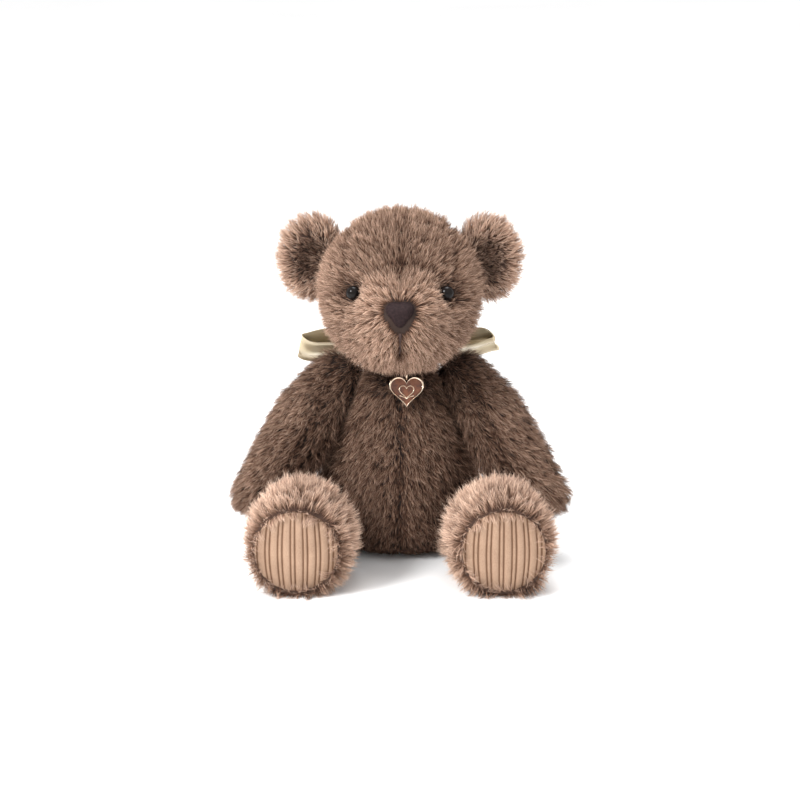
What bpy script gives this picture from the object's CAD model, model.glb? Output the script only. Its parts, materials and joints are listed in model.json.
import itertools
import json
import math

import bmesh
import bpy
import numpy as np
from mathutils import Matrix, Vector
from mathutils.bvhtree import BVHTree
from mathutils.kdtree import KDTree


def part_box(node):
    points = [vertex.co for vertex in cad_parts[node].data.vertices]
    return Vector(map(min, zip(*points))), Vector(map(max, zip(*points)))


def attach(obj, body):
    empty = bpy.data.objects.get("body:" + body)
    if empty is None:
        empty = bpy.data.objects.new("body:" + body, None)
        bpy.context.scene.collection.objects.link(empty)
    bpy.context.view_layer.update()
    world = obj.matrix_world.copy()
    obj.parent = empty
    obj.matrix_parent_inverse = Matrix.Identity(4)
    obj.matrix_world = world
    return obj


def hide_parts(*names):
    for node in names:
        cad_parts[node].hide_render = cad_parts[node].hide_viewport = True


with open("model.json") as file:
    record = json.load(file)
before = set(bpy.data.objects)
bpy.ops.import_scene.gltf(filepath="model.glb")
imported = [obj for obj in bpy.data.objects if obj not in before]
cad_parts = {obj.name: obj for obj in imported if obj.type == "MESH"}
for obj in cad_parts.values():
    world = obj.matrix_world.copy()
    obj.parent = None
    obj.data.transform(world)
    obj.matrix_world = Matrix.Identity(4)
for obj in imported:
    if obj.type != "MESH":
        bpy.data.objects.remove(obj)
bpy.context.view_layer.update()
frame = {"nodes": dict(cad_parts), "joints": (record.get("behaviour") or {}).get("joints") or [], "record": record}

# The looks of the jointed bear. Lengths are in metres, in the frame's own axes: +Z up, the bear
# faces -Y, its left side is +X. Each plush panel is two pieces: its cloth, and the pile on it.

MM = 0.001
SIDES = {"left": 1, "right": -1}

# ---- places, read from the frame ----


def middle(node):
    low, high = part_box(node)
    return (low + high) / 2


def joint(name):
    return next(j for j in frame["joints"] if j["name"] == name)


EYES = [middle("eye_" + side) for side in SIDES]
EYE_R = 5 * MM
for eye, side in zip(EYES, SIDES):
    eye.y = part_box("eye_" + side)[0].y + EYE_R
    eye.x = SIDES[side] * (max(abs(c.x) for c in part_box("eye_" + side)) - EYE_R)
NOSE = middle("nose")
NOSE.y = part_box("nose")[0].y
EARS = {side: middle("ear_lining_" + side) for side in SIDES}
PADS = {side: middle("foot_pad_" + side) for side in SIDES}
SHOULDERS = {side: Vector(joint("shoulder_" + side)["pos_m"]) for side in SIDES}

# ---- small helpers ----


def unit(v):
    return v / np.maximum(np.linalg.norm(v, axis=1, keepdims=True), 1e-9)


def smoothstep(x, low, high):
    t = np.clip((x - low) / (high - low), 0, 1)
    return t * t * (3 - 2 * t)


def placed(name, data):
    """An object of that data, in the scene."""
    obj = bpy.data.objects.new(name, data)
    bpy.context.scene.collection.objects.link(obj)
    return obj


def new_object(name, mesh, body, material, replaced=()):
    """A visible piece: it rides on a body, fills a material slot, and may stand for CAD nodes."""
    obj = placed(name, mesh)
    mesh.materials.clear()
    mesh.materials.append(material)
    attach(obj, body)
    if replaced:
        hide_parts(*replaced)
    return obj


def shade_smooth(mesh):
    mesh.polygons.foreach_set("use_smooth", [True] * len(mesh.polygons))


def mesh_of(name, verts, faces):
    mesh = bpy.data.meshes.new(name)
    mesh.from_pydata([tuple(v) for v in verts], [], [tuple(f) for f in faces])
    mesh.validate()
    shade_smooth(mesh)
    return mesh


def grid_faces(rows, cols, wrap=False):
    """Quads of a grid of rows by cols points, wrapped round the columns if asked."""
    last = cols if wrap else cols - 1
    return [(r * cols + c, r * cols + (c + 1) % cols, (r + 1) * cols + (c + 1) % cols, (r + 1) * cols + c)
            for r in range(rows - 1) for c in range(last)]


def baked(obj):
    """The object's mesh with its modifiers or bevel applied. The object itself goes."""
    graph = bpy.context.evaluated_depsgraph_get()
    mesh = bpy.data.meshes.new_from_object(obj.evaluated_get(graph))
    bpy.data.objects.remove(obj)
    return mesh


def welded(mesh, apart):
    """Joins the points that lie closer than apart, and turns every face outward."""
    bm = bmesh.new()
    bm.from_mesh(mesh)
    bmesh.ops.remove_doubles(bm, verts=bm.verts, dist=apart)
    bmesh.ops.recalc_face_normals(bm, faces=bm.faces)
    bm.to_mesh(mesh)
    bm.free()
    return mesh


def per_vertex(mesh, what):
    """A row of three numbers for each vertex: its "co" or its "normal"."""
    values = np.empty(len(mesh.vertices) * 3)
    mesh.vertices.foreach_get(what, values)
    return values.reshape(-1, 3)


# ---- materials ----


class Nodes:
    """A material's nodes, with short calls for the ones used here."""

    def __init__(self, name):
        self.material = bpy.data.materials.new(name)
        self.material.use_nodes = True
        self.tree = self.material.node_tree
        self.shader = self.tree.nodes["Principled BSDF"]

    def add(self, kind, **values):
        node = self.tree.nodes.new(kind)
        for key, value in values.items():
            if hasattr(node, key):
                setattr(node, key, value)
            else:
                node.inputs[key.replace("_", " ")].default_value = value
        return node

    def link(self, source, target):
        self.tree.links.new(source, target)

    def set(self, **values):
        for key, value in values.items():
            self.shader.inputs[key.replace("_", " ")].default_value = value

    def paint(self, colour):
        self.link(colour, self.shader.inputs["Base Color"])

    def coords(self):
        return self.add("ShaderNodeTexCoord").outputs["Object"]

    def noise(self, scale, detail=3.0, vector=None):
        node = self.add("ShaderNodeTexNoise", Scale=scale, Detail=detail)
        self.link(vector or self.coords(), node.inputs["Vector"])
        return node.outputs["Fac"]

    def ramp(self, factor, stops):
        node = self.add("ShaderNodeValToRGB")
        elements = node.color_ramp.elements
        while len(elements) < len(stops):
            elements.new(0.5)
        for element, (place, colour) in zip(elements, stops):
            element.position = place
            element.color = (*colour, 1)
        self.link(factor, node.inputs["Fac"])
        return node.outputs["Color"]

    def bump(self, height, strength, distance):
        node = self.add("ShaderNodeBump", Strength=strength, Distance=distance)
        self.link(height, node.inputs["Height"])
        self.link(node.outputs["Normal"], self.shader.inputs["Normal"])

    def wave(self, scale, direction, distortion=0.4):
        node = self.add("ShaderNodeTexWave", Scale=scale, Distortion=distortion, bands_direction=direction)
        self.link(self.coords(), node.inputs["Vector"])
        return node.outputs["Fac"]

    def mixed(self, a, b, factor, kind="MIX"):
        node = self.add("ShaderNodeMix", data_type="RGBA", blend_type=kind)
        for source, index in ((factor, 0), (a, 6), (b, 7)):
            if hasattr(source, "links"):
                self.link(source, node.inputs[index])
            else:
                node.inputs[index].default_value = source
        return node.outputs[2]


UV_LAYER = "OFBake"  # across: the strand's own shade; up: from root to tip


def pile_material(name, dark, light):
    """Strand colours from root to tip, for the darkest and the palest strands, mixed by shade."""
    m = Nodes(name)
    place = m.add("ShaderNodeUVMap", uv_map=UV_LAYER)
    split = m.add("ShaderNodeSeparateXYZ")
    m.link(place.outputs["UV"], split.inputs[0])
    along = split.outputs["Y"]
    colour = m.mixed(m.ramp(along, dark), m.ramp(along, light), split.outputs["X"])
    m.paint(colour)
    m.set(Roughness=0.7, Specular_IOR_Level=0.12)
    return m.material


def srgb(r, g, b):
    """A colour given as 0 to 255, as the shader wants it."""
    return tuple(((c / 255 + 0.055) / 1.055) ** 2.4 for c in (r, g, b))


DARK_STRAND = [(0.0, srgb(20, 11, 8)), (0.4, srgb(40, 24, 17)), (0.75, srgb(78, 52, 39)),
               (1.0, srgb(120, 87, 69))]
PALE_STRAND = [(0.0, srgb(74, 49, 37)), (0.35, srgb(142, 106, 86)), (0.72, srgb(206, 170, 146)),
               (1.0, srgb(236, 206, 184))]
RIM_STRAND = [(0.0, srgb(112, 82, 66)), (0.35, srgb(168, 133, 112)), (0.72, srgb(216, 182, 159)),
              (1.0, srgb(240, 213, 193))]      # the ears and the fringe round the soles are paler still


def backing_material(name, colour):
    """The knitted backing that shows between the strands: dark, with a fine knit."""
    m = Nodes(name)
    patches = m.noise(90, 4)
    shade = m.ramp(patches, [(0.3, tuple(c * 0.6 for c in colour)), (0.75, colour)])
    m.paint(shade)
    m.set(Roughness=0.9)
    m.bump(m.wave(900, "DIAGONAL"), 0.3, 0.0002)
    return m.material


def corduroy_material():
    m = Nodes("corduroy")
    tuft = m.noise(2600, 4)
    worn = m.noise(55, 3)
    base = m.ramp(tuft, [(0.25, srgb(142, 114, 95)), (0.5, srgb(166, 138, 117)),
                         (0.78, srgb(184, 157, 136))])
    tone = m.ramp(worn, [(0.3, (0.86, 0.84, 0.82)), (0.7, (1.06, 1.05, 1.04))])
    shade = m.mixed(base, tone, 1.0, "MULTIPLY")
    rib = m.add("ShaderNodeAttribute", attribute_name="rib")
    valley = m.ramp(rib.outputs["Fac"], [(0.0, (0.4, 0.33, 0.29)), (0.45, (0.86, 0.83, 0.8)),
                                         (0.8, (1, 1, 1))])
    m.paint(m.mixed(shade, valley, 1.0, "MULTIPLY"))
    m.set(Roughness=0.9, Specular_IOR_Level=0.15)
    m.bump(tuft, 0.5, 0.0004)
    return m.material


def satin_material():
    m = Nodes("satin")
    weave = m.wave(1400, "DIAGONAL", 0.1)
    cloud = m.noise(40, 2)
    shade = m.ramp(cloud, [(0.3, srgb(172, 154, 124)), (0.55, srgb(203, 187, 155)),
                           (0.8, srgb(226, 214, 188))])
    m.paint(shade)
    m.set(Roughness=0.24, Metallic=0.4, Anisotropic=0.5)
    m.bump(weave, 0.08, 0.0001)
    return m.material


def nose_material():
    m = Nodes("nose_cloth")
    weave = m.wave(1100, "X", 0.6)
    shade = m.ramp(m.noise(700, 3), [(0.3, srgb(26, 14, 15)), (0.7, srgb(44, 29, 30))])
    m.paint(shade)
    m.set(Roughness=0.75, Specular_IOR_Level=0.2)
    m.bump(weave, 0.35, 0.0003)
    return m.material


def thread_material():
    m = Nodes("mouth_thread")
    twist = m.wave(1500, "Z", 0.5)
    m.paint(m.ramp(twist, [(0.2, srgb(44, 28, 24)), (0.8, srgb(80, 56, 48))]))
    m.set(Roughness=0.7)
    m.bump(twist, 0.4, 0.0002)
    return m.material


def eye_material():
    m = Nodes("eye_glass")
    m.paint(m.ramp(m.noise(300, 2), [(0.3, (0.004, 0.003, 0.003)), (0.8, (0.012, 0.009, 0.008))]))
    m.set(Roughness=0.07, Specular_IOR_Level=0.14)
    return m.material


def metal_material(name, low, high, roughness):
    m = Nodes(name)
    m.paint(m.ramp(m.noise(500, 3), [(0.3, low), (0.7, high)]))
    m.set(Metallic=1.0, Roughness=roughness)
    m.bump(m.noise(2500, 2), 0.08, 0.0001)
    return m.material


def enamel_material():
    m = Nodes("medal_enamel")
    m.paint(m.ramp(m.noise(160, 3), [(0.3, srgb(70, 36, 20)), (0.55, srgb(118, 68, 42)),
                                     (0.8, srgb(150, 98, 66))]))
    m.set(Metallic=0.55, Roughness=0.2, Coat_Weight=0.7, Coat_Roughness=0.06)
    m.bump(m.noise(1200, 2), 0.05, 0.0001)
    return m.material


def fibre_material():
    m = Nodes("stuffing")
    strand = m.noise(600, 6)
    m.paint(m.ramp(strand, [(0.3, (0.6, 0.6, 0.58)), (0.7, (0.9, 0.9, 0.88))]))
    m.set(Roughness=0.95)
    m.bump(strand, 0.6, 0.001)
    return m.material


def board_material():
    m = Nodes("joint_board")
    m.paint(m.ramp(m.noise(350, 5), [(0.3, srgb(96, 66, 42)), (0.7, srgb(140, 104, 72))]))
    m.set(Roughness=0.75)
    m.bump(m.noise(1800, 4), 0.3, 0.0003)
    return m.material


def washer_material():
    m = Nodes("washer_plastic")
    m.paint(m.ramp(m.noise(250, 3), [(0.3, (0.74, 0.74, 0.71)), (0.7, (0.85, 0.85, 0.83))]))
    m.set(Roughness=0.5)
    m.bump(m.noise(900, 3), 0.15, 0.0002)
    return m.material


MATERIALS = {
    "stuffing": fibre_material(),
    "joint_board": board_material(),
    "joint_steel": metal_material("joint_steel", (0.5, 0.5, 0.52), (0.68, 0.68, 0.7), 0.32),
    "eye_glass": eye_material(),
    "washer_plastic": washer_material(),
    "nose_cloth": nose_material(),
    "mouth_thread": thread_material(),
    "corduroy": corduroy_material(),
    "satin_ribbon": satin_material(),
    "medal_enamel": enamel_material(),
    "medal_metal": metal_material("medal_metal", srgb(214, 186, 158), srgb(244, 226, 204), 0.22),
}
PLUSH_SLOTS = {"body_plush": (32, 20, 14), "head_plush": (50, 33, 25), "muzzle_plush": (52, 34, 25),
               "ear_plush": (58, 39, 30), "foot_plush": (84, 60, 48)}
RIM_SLOTS = ("foot_plush", "ear_plush")
PILE = {slot: pile_material(slot + "_pile", DARK_STRAND, RIM_STRAND if slot in RIM_SLOTS else PALE_STRAND)
        for slot in PLUSH_SLOTS}
BACKING = {slot: backing_material(slot + "_backing", srgb(*colour)) for slot, colour in PLUSH_SLOTS.items()}

for row in frame["record"]["subparts"]:
    if row["material_slot"] in MATERIALS:
        node = frame["nodes"][row["node"]]
        node.data.materials.clear()
        node.data.materials.append(MATERIALS[row["material_slot"]])
        shade_smooth(node.data)

# ---- cloth: one smooth form for each stuffed part, cut into its panels along the seams ----

VOXEL = 1.7 * MM
SMOOTHINGS = 6
SEAM_REACH = 2.6 * MM     # how far from a seam the cloth is drawn in and the pile is shorter
SEAM_DEPTH = 0.9 * MM


def stuffed_form(name, nodes):
    """The outside of a stuffed part, remeshed evenly and smoothed."""
    bm = bmesh.new()
    for node in nodes:
        bm.from_mesh(frame["nodes"][node].data)
    rough = bpy.data.meshes.new(name)
    bm.to_mesh(rough)
    bm.free()
    obj = placed(name, rough)
    remesh = obj.modifiers.new("remesh", "REMESH")
    remesh.mode = "VOXEL"
    remesh.voxel_size = VOXEL
    bm = bmesh.new()
    bm.from_mesh(baked(obj))
    keep_largest(bm)
    for _ in range(SMOOTHINGS):
        bmesh.ops.smooth_vert(bm, verts=bm.verts, factor=0.5,
                              use_axis_x=True, use_axis_y=True, use_axis_z=True)
    return bm


def keep_largest(bm):
    """Drops everything but the largest connected part."""
    left, groups = set(bm.verts), []
    while left:
        stack, group = [left.pop()], []
        while stack:
            vert = stack.pop()
            group.append(vert)
            for edge in vert.link_edges:
                other = edge.other_vert(vert)
                if other in left:
                    left.remove(other)
                    stack.append(other)
        groups.append(group)
    groups.sort(key=len)
    for group in groups[:-1]:
        bmesh.ops.delete(bm, geom=group, context="VERTS")


def cut(bm, point, normal):
    """Splits the faces along a plane, so that a panel can end there."""
    everything = bm.verts[:] + bm.edges[:] + bm.faces[:]
    bmesh.ops.bisect_plane(bm, geom=everything, plane_co=point, plane_no=normal)


def panel(bm, name, belongs):
    """The faces of bm whose middle belongs(point) accepts, as a mesh, with the whole form's normals."""
    part = bm.copy()
    part.normal_update()
    away = [f for f in part.faces if not belongs(f.calc_center_median())]
    bmesh.ops.delete(part, geom=away, context="FACES")
    normals = np.array([vert.normal for vert in part.verts])
    mesh = bpy.data.meshes.new(name)
    for face in part.faces:
        face.smooth = True
    part.to_mesh(mesh)
    part.free()
    return mesh, normals


def seam_distance(mesh, points):
    """How far each point is from the nearest raw edge of its panel."""
    counts = np.zeros(len(mesh.edges), int)
    loops = np.empty(len(mesh.loops), int)
    mesh.loops.foreach_get("edge_index", loops)
    np.add.at(counts, loops, 1)
    ends = np.empty(len(mesh.edges) * 2, int)
    mesh.edges.foreach_get("vertices", ends)
    rim = np.unique(ends.reshape(-1, 2)[counts == 1])
    if len(rim) == 0:
        return np.full(len(points), 1.0)
    tree = KDTree(len(rim))
    for i, v in enumerate(rim):
        tree.insert(mesh.vertices[int(v)].co, i)
    tree.balance()
    return np.array([tree.find(p)[2] for p in points])


def press_seams(mesh, normals, depth):
    """Pulls the cloth in along its seams, as the stitching does, and its neighbour's edge with it."""
    co = per_vertex(mesh, "co")
    near = np.exp(-((seam_distance(mesh, co) / SEAM_REACH) ** 2))
    co -= normals * (near * depth)[:, None]
    mesh.vertices.foreach_set("co", co.ravel())
    mesh.update()


# ---- pile: real strands, rooted on the cloth ----


def constant(value):
    return lambda p: np.full(len(p), value)


SECTIONS = np.array([0.0, 0.36, 0.72, 1.0])     # where along a strand its corners are
WIDTHS = np.array([0.9, 1.0, 0.72, 0.0])        # how wide it is there
ABOVE_FLOOR = 0.25 * MM


def rooted(mesh, count, rng):
    """Roots spread evenly over the mesh, with the surface's normals there."""
    mesh.calc_loop_triangles()
    tris = np.empty(len(mesh.loop_triangles) * 3, int)
    mesh.loop_triangles.foreach_get("vertices", tris)
    tris = tris.reshape(-1, 3)
    co, no = per_vertex(mesh, "co"), per_vertex(mesh, "normal")
    a, b, c = co[tris[:, 0]], co[tris[:, 1]], co[tris[:, 2]]
    area = np.linalg.norm(np.cross(b - a, c - a), axis=1) / 2
    chosen = np.searchsorted(np.cumsum(area) / area.sum(), rng.random(count))
    u, v = rng.random(count), rng.random(count)
    flip = u + v > 1
    u[flip], v[flip] = 1 - u[flip], 1 - v[flip]
    weights = np.stack([1 - u - v, u, v], axis=1)[:, :, None]
    corners = tris[np.minimum(chosen, len(tris) - 1)]
    return (co[corners] * weights).sum(1), unit((no[corners] * weights).sum(1))


def surface_area(mesh):
    return sum(p.area for p in mesh.polygons)


def clumped(points, rng, spacing):
    """For each point, the index of its clump; and which points are the clumps' middles."""
    count = max(1, len(points) // spacing)
    centres = rng.choice(len(points), count, replace=False)
    tree = KDTree(count)
    for i, c in enumerate(centres):
        tree.insert(points[c], i)
    tree.balance()
    return np.array([tree.find(p)[1] for p in points]), centres


def room(points, length, others):
    """Cuts strands short where another stuffed part is in their way."""
    out = length.copy()
    for tree, low, high in others:
        near = np.all((points > low - length.max()) & (points < high + length.max()), axis=1)
        for i in np.nonzero(near)[0]:
            hit = tree.find_nearest(Vector(points[i]), out[i])
            if hit[0] is not None:
                out[i] = min(out[i], max(hit[3] * 1.1, 0.5 * MM))
    return out


def bent_paths(roots, normals, along, rise, long):
    """Each strand's line: up from its root by rise, then over towards along."""
    bend = np.sqrt(np.maximum(1.35 - rise ** 2, 0.15))
    step = SECTIONS[None, :, None]
    up = rise[:, None, None] * (step - 0.42 * step ** 2) * normals[:, None, :]
    over = bend[:, None, None] * (0.25 * step + 0.6 * step ** 2) * along[:, None, :]
    return roots[:, None, :] + long[:, None, None] * (up + over)


def blades(path, normals, long, width, rng):
    """A thin tapering blade along each line: its seven corners, then its quads and its tip."""
    count = len(path)
    across = unit(np.cross(unit(path[:, -1] - path[:, 0]), normals) + 0.35 * rng.normal(0, 1, (count, 3)))
    half = (width / 2) * rng.uniform(0.7, 1.3, count)[:, None, None] * WIDTHS[None, :, None]
    half = half * np.minimum(1, 0.4 + long / (6 * MM))[:, None, None]
    left = path - across[:, None, :] * half
    right = path + across[:, None, :] * half
    verts = np.concatenate([left[:, :3], right[:, :3], path[:, 3:]], axis=1).reshape(-1, 3)
    start = (np.arange(count) * 7)[:, None]
    quads = (start[:, :, None] + np.array([[0, 3, 4, 1], [1, 4, 5, 2]])[None]).reshape(-1, 4)
    return verts, quads, (start + np.array([2, 5, 6])[None]).reshape(-1, 3)


def pile(name, cloth, body, slot_name, density, length, lay, shade, seed, lift=constant(0.75),
         width=0.28 * MM, seam=constant(0.5), others=(), clump=0.26, tuft=9, wild=0.27, keep=None):
    """Strands on a panel, density to the square millimetre. length, shade, lift and seam are functions
    of the roots; lay, of the roots and normals, is the way they are combed. tuft is how many share a
    clump, clump how far they draw together, wild how far they stray, and keep says which roots stay."""
    rng = np.random.default_rng(seed)
    roots, normals = rooted(cloth, int(surface_area(cloth) / MM ** 2 * density), rng)
    if keep is not None:
        kept = keep(roots)
        roots, normals = roots[kept], normals[kept]
    count = len(roots)
    at_seam = np.exp(-((seam_distance(cloth, roots) / SEAM_REACH) ** 2)) * seam(roots)
    long = length(roots) * rng.uniform(0.72, 1.12, count) * (1 - 0.55 * at_seam)
    long = room(roots, long, others)
    along = lay(roots, normals)
    along = unit(along - normals * (along * normals).sum(1)[:, None])
    group, centres = clumped(roots, rng, tuft)
    sway = rng.normal(0, 1, (len(centres), 3))
    along = unit(along + wild * 0.9 * sway[group] + wild * rng.normal(0, 1, (count, 3)))
    rise = np.clip(lift(roots) + 0.12 * rng.normal(0, 1, count) + 0.14 * sway[group, 0], 0.2, 1.3)
    path = bent_paths(roots, normals, along, rise, long)
    to_tuft = path[centres, -1][group] - path[:, -1]
    path += clump * SECTIONS[None, :, None] ** 1.6 * to_tuft[:, None, :]
    path[:, 1:, 2] = np.maximum(path[:, 1:, 2], ABOVE_FLOOR)
    tone = shade(roots) + 0.05 * sway[group, 1] + rng.normal(0, 0.22, count) - 0.25 * at_seam
    verts, quads, tips = blades(path, normals, long, width, rng)
    return strands(name, verts, quads, tips, np.clip(tone, 0.02, 0.98), body, slot_name)


def strands(name, verts, quads, tips, tone, body, slot_name):
    """One mesh of all the strands, with shade across and root-to-tip up its one UV layer."""
    mesh = bpy.data.meshes.new(name)
    mesh.vertices.add(len(verts))
    mesh.vertices.foreach_set("co", verts.ravel())
    count = len(tips)
    mesh.loops.add(count * 11)
    # strand by strand: its two quads, then the triangle at its tip
    corners = np.concatenate([quads.reshape(count, 8), tips], axis=1).ravel()
    mesh.loops.foreach_set("vertex_index", corners)
    mesh.polygons.add(count * 3)
    base = np.arange(count)[:, None] * 11
    mesh.polygons.foreach_set("loop_start", (base + np.array([0, 4, 8])[None]).ravel())
    mesh.polygons.foreach_set("use_smooth", np.ones(count * 3, bool))
    local = corners.reshape(count, 11) % 7
    height = np.array([0, SECTIONS[1], SECTIONS[2], 0, SECTIONS[1], SECTIONS[2], 1.0])[local]
    side = np.array([-1, -1, -1, 1, 1, 1, 0])[local] * 0.004
    uv = np.stack([np.clip(tone[:, None] + side, 0, 1), np.clip(height, 0.01, 0.99)], axis=2)
    layer = mesh.uv_layers.new(name=UV_LAYER)
    layer.data.foreach_set("uv", uv.reshape(-1).astype(np.float32))
    mesh.update(calc_edges=True)
    return new_object(name, mesh, body, PILE[slot_name])


# ---- the stuffed parts ----

seeds = itertools.count(21)
trees = {}


def body_nodes(prefixes, body):
    return [n for n in frame["record"]["behaviour"]["bodies"][body] if n.startswith(prefixes)]


forms = {"torso": stuffed_form("torso", body_nodes(("torso", "neck", "shoulder", "hip"), "torso")),
         "head": stuffed_form("head", body_nodes(("head", "muzzle", "neck_disc"), "head"))}
LIMB_NODES = {"arm_": ("arm_outer", "arm_inner", "arm_stuffing", "arm_disc"),
              "leg_": ("leg_outer", "leg_inner", "foot", "leg_stuffing", "leg_disc")}
for side in SIDES:
    for limb, prefixes in LIMB_NODES.items():
        forms[limb + side] = stuffed_form(limb + side, body_nodes(prefixes, limb + side))
for part, form in forms.items():
    form.faces.ensure_lookup_table()
    points = np.array([v.co for v in form.verts])
    trees[part] = (BVHTree.FromBMesh(form), points.min(0), points.max(0))


def other_parts(part):
    return [tree for name, tree in trees.items() if name != part]


def plush(node, part, body, slot_name, belongs, filled=(), press=SEAM_DEPTH, **pile_facts):
    """A panel of plush: its cloth, pressed in at the seams, and the pile on it. filled names the
    stuffing that the panel stands for as well, so that none shows where the cloth is drawn in."""
    cloth, normals = panel(forms[part], node + "_cloth", belongs)
    press_seams(cloth, normals, press)
    new_object(node + "_cloth", cloth, body, BACKING[slot_name], [node, *filled])
    pile(node + "_pile", cloth, body, slot_name, seed=next(seeds), others=other_parts(part), **pile_facts)


def from_point(point):
    """A lay that runs away from a point."""
    centre = np.array(point)
    return lambda p, n: unit(p - centre)


def towards(direction):
    way = np.array(direction, float)
    return lambda p, n: np.tile(way, (len(p), 1))


# torso: dark, combed down, parted by the middle seam
cut(forms["torso"], (0, 0, 0), (1, 0, 0))


def torso_shade(p):
    low_dark = smoothstep(p[:, 2], 5 * MM, 55 * MM)
    patches = 0.2 + 0.05 * np.sin(p[:, 2] * 95 + p[:, 0] * 60) * np.cos(p[:, 0] * 80)
    return patches * (0.45 + 0.55 * low_dark)


def torso_length(p):
    """Shorter under the belly; longer under the arms and round the neck, where it closes the gaps."""
    x, z = np.abs(p[:, 0]), p[:, 2]
    band = smoothstep(z, 30 * MM, 45 * MM) * (1 - smoothstep(z, 70 * MM, 90 * MM))
    flank = band * smoothstep(x, 34 * MM, 44 * MM)
    neck = smoothstep(z, SHOULDERS["left"].z - 2 * MM, SHOULDERS["left"].z + 12 * MM)
    return (4 + 5 * smoothstep(z, 4 * MM, 26 * MM) + 8 * flank + 6 * neck) * MM


def torso_lift(p):
    """Combed flat, but for the pile that stands up round the neck and under the arms."""
    return 0.58 + 0.4 * smoothstep(torso_length(p), 10 * MM, 13 * MM)


def torso_seam(p):
    """Plain up the belly; closed underneath, where the pile is short."""
    return 0.15 + 0.75 * smoothstep(p[:, 2], 8 * MM, 26 * MM)


for side, sign in SIDES.items():
    plush("torso_panel_" + side, "torso", "torso", "body_plush", lambda c, s=sign: c.x * s > 0,
          filled=["torso_stuffing"] if side == "left" else [],
          density=2.0, length=torso_length, lay=towards((sign * 0.3, 0, -1)), shade=torso_shade,
          seam=torso_seam, lift=torso_lift)

# head: the pile runs away from the nose, pale on the muzzle and dark on the crown
MUZZLE_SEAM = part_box("muzzle_left")[1].y
GUSSET_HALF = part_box("head_gusset")[1].x
GUSSET_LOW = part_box("head_gusset")[0].z
cut(forms["head"], (0, 0, 0), (1, 0, 0))
cut(forms["head"], (0, MUZZLE_SEAM, 0), (0, 1, 0))
for x in (-GUSSET_HALF, GUSSET_HALF):
    cut(forms["head"], (x, 0, 0), (1, 0, 0))
cut(forms["head"], (0, 0, GUSSET_LOW), (0, 0, 1))
MOUTH_LOW, MOUTH_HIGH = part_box("mouth_stitches")[0].z, NOSE.z - 8 * MM
NOSE_BASE = NOSE + Vector((0, 12 * MM, 0))


def spot(p, place, radius):
    """1 at a place, falling off round it."""
    return np.exp(-((np.linalg.norm(p - np.array(place), axis=1) / radius) ** 2))


def nose_reach(angle):
    """The rounded triangle of the nose, point down: how far it reaches at an angle."""
    half = (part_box("nose")[1].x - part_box("nose")[0].x) / 2
    return half * (1.1 + 0.15 * np.cos(3 * (angle + math.pi / 2)))


def from_nose(p):
    """How far outside the nose's outline a point is, seen from the front; large behind the face."""
    x, z = p[:, 0], p[:, 2] - NOSE.z
    return np.hypot(x, z) - nose_reach(np.arctan2(z, x)) + 10 * np.maximum(p[:, 1] - NOSE.y - 16 * MM, 0)


def head_shade(p):
    """Pale round the nose and between the eyes; a dark peak down the forehead; dark beside the eyes."""
    x, y, z = np.abs(p[:, 0]), p[:, 1], p[:, 2]
    shade = 0.44 + 0.27 * spot(p, NOSE + Vector((0, 14, -8)) * MM, 30 * MM)
    shade -= 0.08 * smoothstep(z, EYES[0].z + 8 * MM, EYES[0].z + 22 * MM)
    for eye in EYES:
        side = math.copysign(1, eye.x)
        shade += 0.24 * spot(p, eye + Vector((-14 * side, -6, -4)) * MM, 9 * MM)
        shade -= 0.42 * spot(p, eye + Vector((5 * side, 2, 0)) * MM, 6.5 * MM)
    peak = np.exp(-((x / (7 * MM)) ** 2)) * smoothstep(z, NOSE.z + 12 * MM, NOSE.z + 22 * MM)
    shade -= 0.2 * peak * (1 - smoothstep(z, EYES[0].z + 20 * MM, EYES[0].z + 35 * MM))
    mouth = np.exp(-((x / (2.6 * MM)) ** 2)) * (z < MOUTH_HIGH) * (z > MOUTH_LOW - 2 * MM) * (y < -0.04)
    return shade * (1 - 0.2 * smoothstep(y, -0.01, 0.03)) - 0.4 * mouth


def head_length(p):
    """Short round the nose and the eyes; pile that runs towards an eye stops before it."""
    far = np.full(len(p), 10.5 * MM) - 4.5 * MM * spot(p, NOSE, 16 * MM)
    way = unit(p - np.array(NOSE_BASE))
    for eye in EYES:
        off = np.array(eye) - p
        apart = np.linalg.norm(off, axis=1)
        facing = smoothstep((way * unit(off)).sum(1), -0.2, 0.5)
        free = np.maximum(apart - EYE_R, 0)
        far = np.minimum(far, 2 * MM + free * (1.6 - 0.8 * facing))
    return np.maximum(far, 2 * MM)


def head_keep(p):
    clear = np.ones(len(p), bool)
    for eye in EYES:
        clear &= np.linalg.norm(p - np.array(eye), axis=1) > EYE_R + 0.3 * MM
    return clear & (from_nose(p) > -0.3 * MM)


def head_lay(p, n):
    """Away from the nose, and away from the mouth's seam on each side of it."""
    x, z = p[:, 0], p[:, 2]
    parting = np.exp(-((x / (5 * MM)) ** 2)) * (z < NOSE.z - 4 * MM) * (z > MOUTH_LOW) * (p[:, 1] < -0.03)
    away = unit(p - np.array(NOSE_BASE))
    away *= (1 - 0.7 * np.exp(-((from_nose(p) / (2.5 * MM)) ** 2)))[:, None]
    away[:, 0] += 0.5 * np.sign(x) * parting
    return away


def head_seam(p):
    """Plain beside the forehead, hardly there round the muzzle."""
    return 0.12 + 0.6 * smoothstep(p[:, 2], EYES[0].z + 2 * MM, EYES[0].z + 10 * MM)


def in_gusset(c):
    return abs(c.x) < GUSSET_HALF and c.z > GUSSET_LOW


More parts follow.
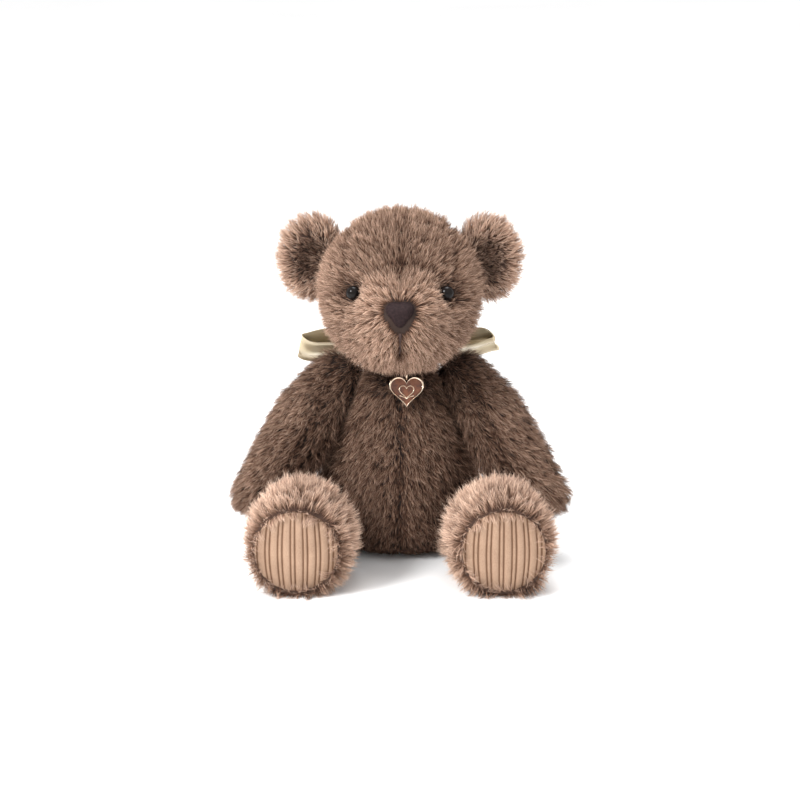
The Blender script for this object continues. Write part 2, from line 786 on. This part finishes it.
head_facts = {"density": 2.0, "length": head_length, "lay": head_lay, "shade": head_shade,
              "keep": head_keep, "lift": constant(0.7), "seam": head_seam, "press": 0.4 * MM}
plush("head_gusset", "head", "head", "head_plush", lambda c: c.y > MUZZLE_SEAM and in_gusset(c),
      filled=["head_stuffing"], **head_facts)
for side, sign in SIDES.items():
    plush("head_side_" + side, "head", "head", "head_plush",
          lambda c, s=sign: c.y > MUZZLE_SEAM and c.x * s > 0 and not in_gusset(c),
          **head_facts)
    plush("muzzle_" + side, "head", "head", "muzzle_plush",
          lambda c, s=sign: c.y < MUZZLE_SEAM and c.x * s > 0, **head_facts)

# ears: long pale rims, darker in the cup


def from_cup(p, centre):
    """How far a point is from the middle of its ear's cup, seen from the front."""
    return np.hypot(p[:, 0] - centre.x, (p[:, 2] - centre.z) * 0.85)


for side, sign in SIDES.items():
    part = "ear_" + side
    forms[part] = stuffed_form(part, ["ear_lining_" + side, "ear_back_" + side])
    seam_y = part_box("ear_back_" + side)[0].y
    cut(forms[part], (0, seam_y, 0), (0, 1, 0))
    centre = EARS[side]

    def ear_shade(p, c=centre):
        return 0.26 + 0.56 * smoothstep(from_cup(p, c), 7 * MM, 16 * MM)

    def ear_length(p, c=centre):
        return (7 + 4.5 * smoothstep(from_cup(p, c), 8 * MM, 18 * MM)) * MM

    inner = Vector((centre.x - sign * 12 * MM, centre.y + 3 * MM, centre.z - 4 * MM))
    for node, front in (("ear_lining_", True), ("ear_back_", False)):
        plush(node + side, part, "head", "ear_plush", lambda c, f=front, y=seam_y: (c.y < y) == f,
              density=1.8, length=ear_length, lay=from_point(inner), shade=ear_shade, lift=constant(0.8),
              seam=constant(0.0), press=0.2 * MM)

# arms: combed down the arm, parted by the seam down the front
for side, sign in SIDES.items():
    part = "arm_" + side
    axis = Vector(joint("shoulder_" + side)["axis"]) * -sign
    inner_cloth = per_vertex(frame["nodes"]["arm_inner_panel_" + side].data, "co")
    seam_at = SHOULDERS[side] + axis * ((inner_cloth - np.array(SHOULDERS[side])) @ np.array(axis)).max()
    cut(forms[part], seam_at, axis)
    low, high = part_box("arm_stuffing_" + side)
    hand = Vector((sign * max(abs(low.x), abs(high.x)), low.y + 12 * MM, low.z + 10 * MM))
    way = (hand - SHOULDERS[side]).normalized()

    def arm_shade(p, a=axis, s=seam_at):
        outer = (p - np.array(s)) @ np.array(a)
        return 0.22 + 0.12 * smoothstep(outer, -4 * MM, 16 * MM) + 0.04 * np.sin(p[:, 2] * 140)

    for node, outer in (("arm_outer_panel_", True), ("arm_inner_panel_", False)):
        plush(node + side, part, part, "body_plush",
              lambda c, a=axis, s=seam_at, o=outer: ((c - s).dot(a) > 0) == o,
              filled=["arm_stuffing_" + side] if outer else [],
              density=2.0, length=constant((9.5 if outer else 12.5) * MM), lay=towards(way), shade=arm_shade,
              seam=constant(0.85), lift=constant(0.6 if outer else 0.8))

# legs: dark thighs, and a long pale pile round the sole
PAD_R = (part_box("foot_pad_left")[1].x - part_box("foot_pad_left")[0].x) / 2
SOLE_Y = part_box("foot_cuff_left")[0].y
CUFF_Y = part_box("foot_cuff_left")[1].y


def thigh_shade(p):
    """Dark, and a little paler towards the cuff."""
    return 0.25 + 0.2 * (1 - smoothstep(p[:, 1], CUFF_Y, CUFF_Y + 18 * MM))


for side, sign in SIDES.items():
    part = "leg_" + side
    seam_x = min(abs(c.x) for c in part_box("leg_outer_panel_" + side)) * sign
    cut(forms[part], (seam_x, 0, 0), (1, 0, 0))
    cut(forms[part], (0, CUFF_Y, 0), (0, 1, 0))
    pad = PADS[side]
    for node, outer in (("leg_outer_panel_", True), ("leg_inner_panel_", False)):
        plush(node + side, part, part, "body_plush",
              lambda c, x=seam_x, s=sign, o=outer: c.y > CUFF_Y and ((c.x - x) * s > 0) == o,
              density=1.5, length=constant(14 * MM), lay=towards((0, -1, 0)), shade=thigh_shade,
              seam=constant(0.3), lift=constant(0.9))

    def cuff_keep(p, c=pad):
        return (np.hypot(p[:, 0] - c.x, p[:, 2] - c.z) > PAD_R - 0.5 * MM) | (p[:, 1] > SOLE_Y + 3 * MM)

    def cuff_lay(p, n, c=pad):
        """Out from the sole, but for a fringe at its edge, which falls over it."""
        away = unit(p - np.array(c + Vector((0, -4 * MM, 0))))
        off = np.hypot(p[:, 0] - c.x, p[:, 2] - c.z) - PAD_R
        fringe = np.exp(-((off / (2 * MM)) ** 2)) * (p[:, 1] < SOLE_Y + 2 * MM)
        return away * (1 - 1.7 * fringe)[:, None]

    def cuff_shade(p, c=pad):
        angle = np.arctan2(p[:, 2] - c.z, p[:, 0] - c.x)
        patches = 0.07 * np.sin(3 * angle + 1) + 0.05 * np.sin(7 * angle)
        behind = smoothstep(p[:, 1], CUFF_Y - 22 * MM, CUFF_Y)
        return 0.74 + patches - 0.2 * behind - 0.12 * (p[:, 2] < 12 * MM)

    def round_sole(c, p=pad):
        """The cuff's cloth, open behind the sole."""
        behind_pad = math.hypot(c.x - p.x, c.z - p.z) < PAD_R - 4 * MM and c.y < SOLE_Y + 4 * MM
        return c.y < CUFF_Y and not behind_pad

    plush("foot_cuff_" + side, part, part, "foot_plush", round_sole, filled=["leg_stuffing_" + side],
          density=1.75, length=constant(12.5 * MM), lay=cuff_lay, shade=cuff_shade, seam=constant(0.0),
          lift=constant(0.85), width=0.32 * MM, keep=cuff_keep, wild=0.34, clump=0.36, tuft=11)

# ---- corduroy soles ----

WIDE_RIB, NARROW_RIB, GROOVE = 4.7 * MM, 2.1 * MM, 0.8 * MM
PITCH = WIDE_RIB + NARROW_RIB + 2 * GROOVE
RIB_RISE = 0.75 * MM
RIB_PINCH = 0.16


def rib_place(x, z):
    """Where across the cloth a point lies: the ribs draw together above and below the dome's middle."""
    return x * (1 + RIB_PINCH * z ** 2) + 40 * PITCH


def rib_height(x):
    """0 in a groove, up to 1 on the crown of a wide rib."""
    at = np.mod(x, PITCH)
    wide = 1 - ((at - WIDE_RIB / 2) / (WIDE_RIB / 2)) ** 2
    narrow = 1 - ((at - WIDE_RIB - GROOVE - NARROW_RIB / 2) / (NARROW_RIB / 2)) ** 2
    return np.sqrt(np.maximum(np.maximum(wide, 0), 0.55 * np.maximum(narrow, 0)))


def sole(side, sign):
    low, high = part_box("foot_pad_" + side)
    centre, radius = middle("foot_pad_" + side), PAD_R + 0.4 * MM
    dome = SOLE_Y - low.y
    cols, rows = 260, 64
    s, t = np.meshgrid(np.linspace(-1, 1, cols), np.linspace(-1, 1, rows))
    x = np.sin(s * math.pi / 2) * 0.55 + s * 0.45
    z = t * np.sqrt(np.maximum(1 - x ** 2, 0))
    off = np.hypot(x, z)
    rib = rib_height(rib_place(x * radius, z))
    rise = dome * (1 - off ** 2.6) + RIB_RISE * (rib - 0.6) * (1 - smoothstep(off, 0.88, 1.0))
    front = np.stack([centre.x + x * radius, SOLE_Y - rise, centre.z + z * radius], axis=2).reshape(-1, 3)
    faces = grid_faces(rows, cols)
    mesh = mesh_of("foot_pad_cloth_" + side, front, faces)
    bm = bmesh.new()
    bm.from_mesh(mesh)
    bmesh.ops.remove_doubles(bm, verts=bm.verts, dist=1e-5)
    bmesh.ops.recalc_face_normals(bm, faces=bm.faces)
    if sum((f.normal.y for f in bm.faces)) > 0:
        bmesh.ops.reverse_faces(bm, faces=bm.faces)
    rim = [e for e in bm.edges if e.is_boundary]
    ring = bmesh.ops.extrude_edge_only(bm, edges=rim)
    edge = [v for v in ring["geom"] if isinstance(v, bmesh.types.BMVert)]
    for vert in edge:
        vert.co.y = high.y
    bmesh.ops.contextual_create(bm, geom=[e for e in bm.edges if e.is_boundary])
    bm.to_mesh(mesh)
    bm.free()
    shade_smooth(mesh)
    co = per_vertex(mesh, "co")
    value = rib_height(rib_place(co[:, 0] - centre.x, (co[:, 2] - centre.z) / radius))
    mesh.attributes.new("rib", "FLOAT", "POINT").data.foreach_set("value", value.astype(np.float32))
    obj = new_object("foot_pad_cloth_" + side, mesh, "leg_" + side, MATERIALS["corduroy"],
                     ["foot_pad_" + side])


for side, sign in SIDES.items():
    sole(side, sign)

# ---- nose and mouth ----


def nose():
    """A stuffed, rounded triangle of dark cloth."""
    rings, spokes = 18, 72
    centre = Vector((0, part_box("nose")[1].y, NOSE.z))
    depth = centre.y - NOSE.y
    verts = []
    for ring in range(rings + 1):
        r = ring / rings
        for k in range(spokes):
            angle = 2 * math.pi * k / spokes
            reach = float(nose_reach(angle))
            crown = depth * (1 - r ** 3.2) ** 0.75
            verts.append((reach * r * math.cos(angle), centre.y - crown,
                          centre.z + reach * r * math.sin(angle)))
    faces = grid_faces(rings + 1, spokes, wrap=True)
    back = len(verts)
    verts.append((0, centre.y + 2 * MM, centre.z))
    rim = rings * spokes
    faces += [(rim + k, back, rim + (k + 1) % spokes) for k in range(spokes)]
    mesh = welded(mesh_of("nose_cloth", verts, faces), 1e-6)
    piece = new_object("nose_cloth", mesh, "head", MATERIALS["nose_cloth"], ["nose"])


nose()

# ---- ribbon ----


def ribbon_mesh(name, centre_line, across, widths, pleats, folds=7, thickness=0.45 * MM, rows=17):
    """A strip of satin along a line, as wide as widths says and pleated where it is gathered."""
    line, across = np.array(centre_line), unit(np.array(across))
    count = len(line)
    tangent = unit(np.gradient(line, axis=0))
    normal = unit(np.cross(tangent, across))
    v = np.linspace(-0.5, 0.5, rows)
    verts = (line[None] + across[None] * (v[:, None] * np.array(widths)[None])[:, :, None]
             + normal[None] * (np.cos(v * folds * math.pi)[:, None] * np.array(pleats)[None])[:, :, None])
    mesh = mesh_of(name, verts.reshape(-1, 3), grid_faces(rows, count))
    area = surface_area(mesh)
    obj = placed(name, mesh)
    solid = obj.modifiers.new("thickness", "SOLIDIFY")
    solid.thickness = thickness
    solid.offset = 0
    smooth = obj.modifiers.new("smooth", "SUBSURF")
    smooth.levels = smooth.render_levels = 1
    done = baked(obj)
    done.name = name
    shade_smooth(done)
    length = np.linalg.norm(np.diff(line, axis=0), axis=1).sum()
    return done, (area / length, length)


def satin(name, mesh, replaced):
    obj = new_object(name, mesh, "torso", MATERIALS["satin_ribbon"], [replaced])


KNOT_LOW, KNOT_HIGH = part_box("bow_knot")
KNOT_Y = (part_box("bow_loop_left")[0].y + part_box("bow_loop_left")[1].y) / 2
KNOT_Z = (KNOT_LOW.z + KNOT_HIGH.z) / 2


def loop(side, sign):
    """A loop of the bow: out from the knot, over, and back under, its open side towards the front."""
    low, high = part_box("bow_loop_" + side)
    reach, start = max(abs(low.x), abs(high.x)), 5 * MM
    count = 81
    turn = np.linspace(0, 2 * math.pi, count)
    out = (1 - np.cos(turn)) / 2
    open_out = smoothstep(out, 0.0, 0.6)
    end_z = (low.z + high.z) / 2
    rise = (high.z - low.z) / 2 - 1.5 * MM
    x = start + (reach - start) * out
    y = KNOT_Y - 2 * MM + 1.5 * MM * np.sin(2 * turn + sign)
    z = KNOT_Z + (end_z - KNOT_Z) * np.sin(out * math.pi / 2) + 0.5 * rise * np.sin(turn) * (0.2 + 0.8 * out)
    z = z + 0.8 * MM * np.sin(5 * turn + 2 * sign) * open_out
    line = np.stack([sign * x, y, z], axis=1)
    tilt = 1.0 + 0.35 * np.sin(turn + 0.8 * sign)
    across = np.stack([sign * 0.25 * np.cos(turn), -np.ones(count), tilt], axis=1)
    widths = (9 + 17 * open_out) * MM
    pleats = 1.5 * MM * (1 - open_out) ** 1.5 + (0.7 + 0.5 * np.sin(2 * turn + sign)) * MM
    mesh, flat = ribbon_mesh("bow_loop_satin_" + side, line, across, widths, pleats, folds=3)
    satin("bow_loop_satin_" + side, mesh, "bow_loop_" + side)


def tail(side, sign):
    low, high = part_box("bow_tail_" + side)
    count = 41
    s = np.linspace(0, 1, count)
    x = (4 + 13.5 * s ** 0.8) * MM
    z = high.z - 1 * MM + (low.z - high.z + 2 * MM) * s
    y = (31 + 21.5 * s ** 0.8 + 1.2 * np.sin(s * 9)) * MM
    line = np.stack([sign * x, y, z], axis=1)
    across = np.stack([np.ones(count), 0.22 * np.sin(s * 5 + sign), np.zeros(count) + 0.12 * sign], axis=1)
    widths = (8 + 13 * smoothstep(s, 0.0, 0.4)) * MM
    pleats = 1.3 * MM * (1 - smoothstep(s, 0.0, 0.5)) + 0.25 * MM
    mesh, flat = ribbon_mesh("bow_tail_satin_" + side, line, across, widths, pleats)
    satin("bow_tail_satin_" + side, mesh, "bow_tail_" + side)


def collar():
    low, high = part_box("ribbon_collar")
    count = 121
    angle = np.linspace(0, 2 * math.pi, count)
    radius = high.x - 0.8 * MM + 0.35 * MM * np.sin(angle * 11)
    height = np.full(count, (low.z + high.z) / 2)
    line = np.stack([radius * np.sin(angle), radius * np.cos(angle), height], axis=1)
    up = np.tile((0.0, 0.0, 1.0), (count, 1))
    mesh, flat = ribbon_mesh("ribbon_collar_satin", line, up, np.full(count, 6 * MM),
                             np.full(count, 0.85 * MM), rows=33)
    satin("ribbon_collar_satin", mesh, "ribbon_collar")


def knot():
    """The ribbon wrapped once over the middle of the bow, creased lengthwise."""
    centre, size = (KNOT_LOW + KNOT_HIGH) / 2, (KNOT_HIGH - KNOT_LOW) / 2
    centre.y = KNOT_HIGH.y - 5 * MM
    size.y = 5 * MM
    rows, cols = 41, 64
    verts = []
    for r in range(rows):
        v = -1 + 2 * r / (rows - 1)
        for c in range(cols):
            angle = 2 * math.pi * c / cols
            swell = (1 - abs(v) ** 3.5) ** 0.5 if abs(v) < 1 else 0
            crease = 1 + 0.05 * math.cos(v * 15 + 0.6 * math.sin(angle)) * swell
            verts.append((centre.x + size.x * v, centre.y + size.y * swell * crease * math.cos(angle),
                          centre.z + size.z * swell * crease * math.sin(angle)))
    mesh = welded(mesh_of("bow_knot_satin", verts, grid_faces(rows, cols, wrap=True)), 1e-5)
    new_object("bow_knot_satin", mesh, "torso", MATERIALS["satin_ribbon"], ["bow_knot"])


knot()
collar()
for side, sign in SIDES.items():
    loop(side, sign)
    tail(side, sign)

# ---- medal: a heart of enamel in a raised metal rim, with a plain raised motif ----


def heart_outline(count=96):
    t = np.linspace(0, 2 * math.pi, count, endpoint=False)
    x = 16 * np.sin(t) ** 3
    y = 13 * np.cos(t) - 5 * np.cos(2 * t) - 2 * np.cos(3 * t) - np.cos(4 * t)
    return np.stack([x, y + 2.5], axis=1) / 16


def medal():
    low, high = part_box("medal")
    half, centre = (high.x - low.x) / 2, (low + high) / 2
    run, rise = high.y - low.y, high.z - low.z
    lean = math.atan2(run - 1.6 * MM, rise)
    place = Matrix.Translation(centre) @ Matrix.Rotation(math.radians(90) - lean, 4, "X")
    outline = heart_outline()
    thickness = 0.9 * MM
    # plate: rings from the middle out, dished enamel, then over the edge to the back
    rings = [(0.0, 0.35), (0.3, 0.35), (0.55, 0.35), (0.85, 0.35), (0.91, 0.4), (0.94, 0.75), (0.98, 0.9),
             (1.0, 0.55), (1.0, -0.5), (0.95, -0.8), (0.5, -0.8), (0.0, -0.8)]
    count = len(outline)
    verts = [place @ Vector((p[0] * k * half, p[1] * k * half, d * thickness))
             for k, d in rings for p in outline]
    mesh = welded(mesh_of("medal_plate", verts, grid_faces(len(rings), count, wrap=True)), 1e-7)
    plate = new_object("medal_plate", mesh, "torso", MATERIALS["medal_enamel"], ["medal"])
    plate.data.materials.append(MATERIALS["medal_metal"])
    flatten = place.inverted()
    for polygon in mesh.polygons:
        dished = 0.2 * thickness < (flatten @ polygon.center).z < 0.5 * thickness
        polygon.material_index = 0 if dished else 1
    proud = 0.45 * thickness
    heart = [Vector((p[0] * half * 0.42, p[1] * half * 0.42, proud)) for p in outline]
    swag = [Vector((x * half, (-0.2 - 0.35 * (1 - abs(x) / 0.5) ** 2 * 0.5) * half, proud))
            for x in np.linspace(-0.42, 0.42, 15)]
    for name, points, closed in (("medal_inner_heart", heart, True), ("medal_swag", swag, False)):
        curve = bpy.data.curves.new(name, "CURVE")
        curve.dimensions = "3D"
        curve.bevel_depth = 0.32 * MM
        curve.bevel_resolution = 2
        spline = curve.splines.new("POLY")
        spline.points.add(len(points) - 1)
        for target, p in zip(spline.points, points):
            target.co = (*(place @ p), 1)
        spline.use_cyclic_u = closed
        new_object(name, baked(placed(name, curve)), "torso", MATERIALS["medal_metal"])


medal()

# ---- stage, light and camera ----


def area_light(name, place, aim, size, power):
    data = bpy.data.lights.new(name, "AREA")
    data.shape = "DISK"
    data.size = size
    data.energy = power
    lamp = placed(name, data)
    lamp.location = place
    lamp.rotation_euler = (Vector(aim) - Vector(place)).to_track_quat("-Z", "Y").to_euler()


def stage():
    bpy.ops.mesh.primitive_plane_add(size=12, location=(0, 0, -0.0004))
    floor = bpy.context.object
    floor.name = "floor"
    m = Nodes("floor")
    shade = m.ramp(m.noise(3, 2), [(0.3, (0.96, 0.96, 0.96)), (0.7, (0.99, 0.99, 0.99))])
    m.paint(shade)
    m.set(Roughness=0.8)
    floor.data.materials.append(m.material)
    world = bpy.data.worlds.new("studio")
    world.use_nodes = True
    world.node_tree.nodes["Background"].inputs["Color"].default_value = (1, 1, 1, 1)
    world.node_tree.nodes["Background"].inputs["Strength"].default_value = 1.0
    bpy.context.scene.world = world
    bpy.context.scene.view_settings.view_transform = "Standard"
    aim = (0, 0, 0.12)
    area_light("key", (-1.2, -1.0, 1.3), aim, 0.7, 42)
    area_light("top", (0.1, 0.3, 1.6), aim, 0.9, 16)


def camera():
    """At the height and distance that show the bear as a catalogue does, a little from above."""
    distance, elevation = 1.6, math.radians(15)
    target = Vector((0, 0, 0.1026))
    data = bpy.data.cameras.new("camera")
    view_width = 0.56
    data.lens = data.sensor_width * distance / view_width
    shot = placed("camera", data)
    shot.location = target + Vector((0, -math.cos(elevation), math.sin(elevation))) * distance
    shot.rotation_euler = (target - shot.location).to_track_quat("-Z", "Y").to_euler()
    bpy.context.scene.camera = shot


stage()
camera()
